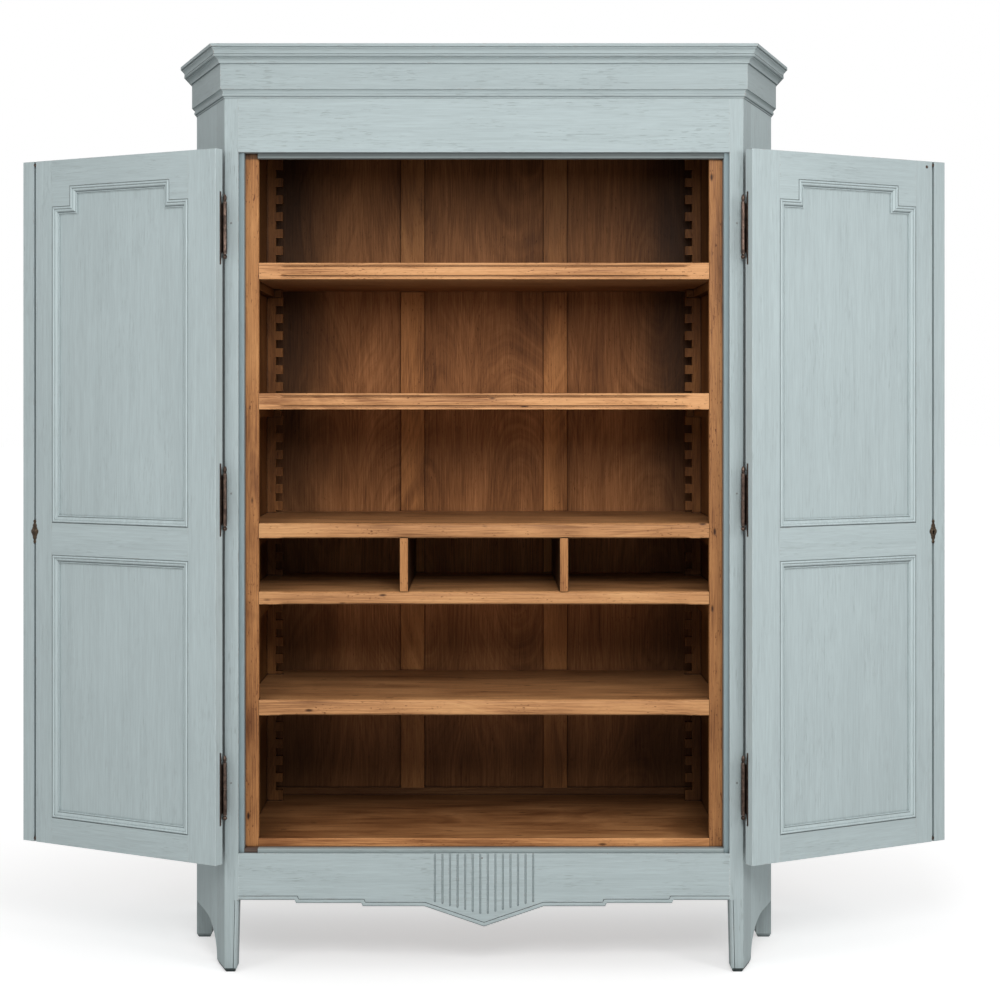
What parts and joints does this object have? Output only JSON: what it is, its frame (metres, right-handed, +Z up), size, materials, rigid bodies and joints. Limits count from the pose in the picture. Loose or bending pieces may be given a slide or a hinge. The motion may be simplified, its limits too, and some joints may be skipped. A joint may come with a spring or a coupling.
{
  "type": "bonnetiere cabinet",
  "caption": "Painted cabinet with canted front corners, stepped cornice and fluted apron; two panelled doors open on a wooden interior with shelves, cubbies and toothed shelf racks.",
  "frame": {"origin": "on the floor, under the centre of the bounding box with the doors as they stand open", "axes": "+X to the right as seen from the front, +Y from the front to the back, +Z up"},
  "size_m": [2.2936, 0.6966, 2.195],
  "materials": {
    "duck_egg_paint": "matt grey-blue paint over wood, brushed along the grain and rubbed at the arrises",
    "honey_wood": "waxed light wood",
    "brown_wood": "old dark waxed wood",
    "wrought_iron": "browned iron, slightly polished by use",
    "dark_bronze": "dark patina"
  },
  "bodies": {
    "carcass": {"front_post_left": "duck_egg_paint", "front_post_right": "duck_egg_paint", "canted_panel_left": "duck_egg_paint", "canted_panel_right": "duck_egg_paint", "middle_posts": "duck_egg_paint", "rear_posts": "duck_egg_paint", "side_rails": "duck_egg_paint", "side_panels": "duck_egg_paint", "header_rail": "duck_egg_paint", "apron": "duck_egg_paint", "cornice_left": "duck_egg_paint", "cornice_front": "duck_egg_paint", "cornice_right": "duck_egg_paint", "top_board": "duck_egg_paint", "door_stop_uprights": "duck_egg_paint", "door_stop_strips": "duck_egg_paint", "inner_posts": "honey_wood", "floor_board": "honey_wood", "shelf_1": "honey_wood", "shelf_2": "honey_wood", "shelf_3": "honey_wood", "shelf_4": "honey_wood", "shelf_5": "honey_wood", "cubby_dividers": "honey_wood", "sill_block": "honey_wood", "side_linings": "brown_wood", "floor_bearers": "brown_wood", "ceiling_board": "brown_wood", "back_stiles": "brown_wood", "back_rails": "brown_wood", "back_panels": "brown_wood", "front_racks": "brown_wood", "rear_racks": "brown_wood", "shelf_cleats": "brown_wood", "hinge_frame_knuckles": "wrought_iron", "hinge_pins": "wrought_iron", "face_nails": "wrought_iron"},
    "left_door": {"left_door_hinge_stile": "duck_egg_paint", "left_door_meeting_stile": "duck_egg_paint", "left_door_edge_strip": "duck_egg_paint", "left_door_rails": "duck_egg_paint", "left_door_panels": "duck_egg_paint", "left_door_mouldings": "duck_egg_paint", "left_door_hinge_leaves": "wrought_iron", "left_door_catch_studs": "wrought_iron", "left_door_escutcheons": "dark_bronze", "strike_plate": "wrought_iron"},
    "right_door": {"right_door_hinge_stile": "duck_egg_paint", "right_door_meeting_stile": "duck_egg_paint", "right_door_edge_strip": "duck_egg_paint", "right_door_rails": "duck_egg_paint", "right_door_panels": "duck_egg_paint", "right_door_mouldings": "duck_egg_paint", "right_door_hinge_leaves": "wrought_iron", "right_door_catch_studs": "wrought_iron", "right_door_escutcheons": "dark_bronze", "lock_case": "wrought_iron"},
    "lock_bolt": {"lock_bolt": "wrought_iron"}
  },
  "joints": [
    {"name": "left_door_hinge", "type": "hinge", "parent": "carcass", "child": "left_door", "pos_m": [-0.611, -0.32916, 0], "axis": [0, 0, 1], "range_deg": [-38, 211]},
    {"name": "right_door_hinge", "type": "hinge", "parent": "carcass", "child": "right_door", "pos_m": [0.611, -0.32916, 0], "axis": [0, 0, -1], "range_deg": [-38, 211]},
    {"name": "lock_bolt_slide", "type": "slide", "parent": "right_door", "child": "lock_bolt", "axis": [0.8572, 0.515, 0], "range_m": [0, 0.012]}
  ]
}
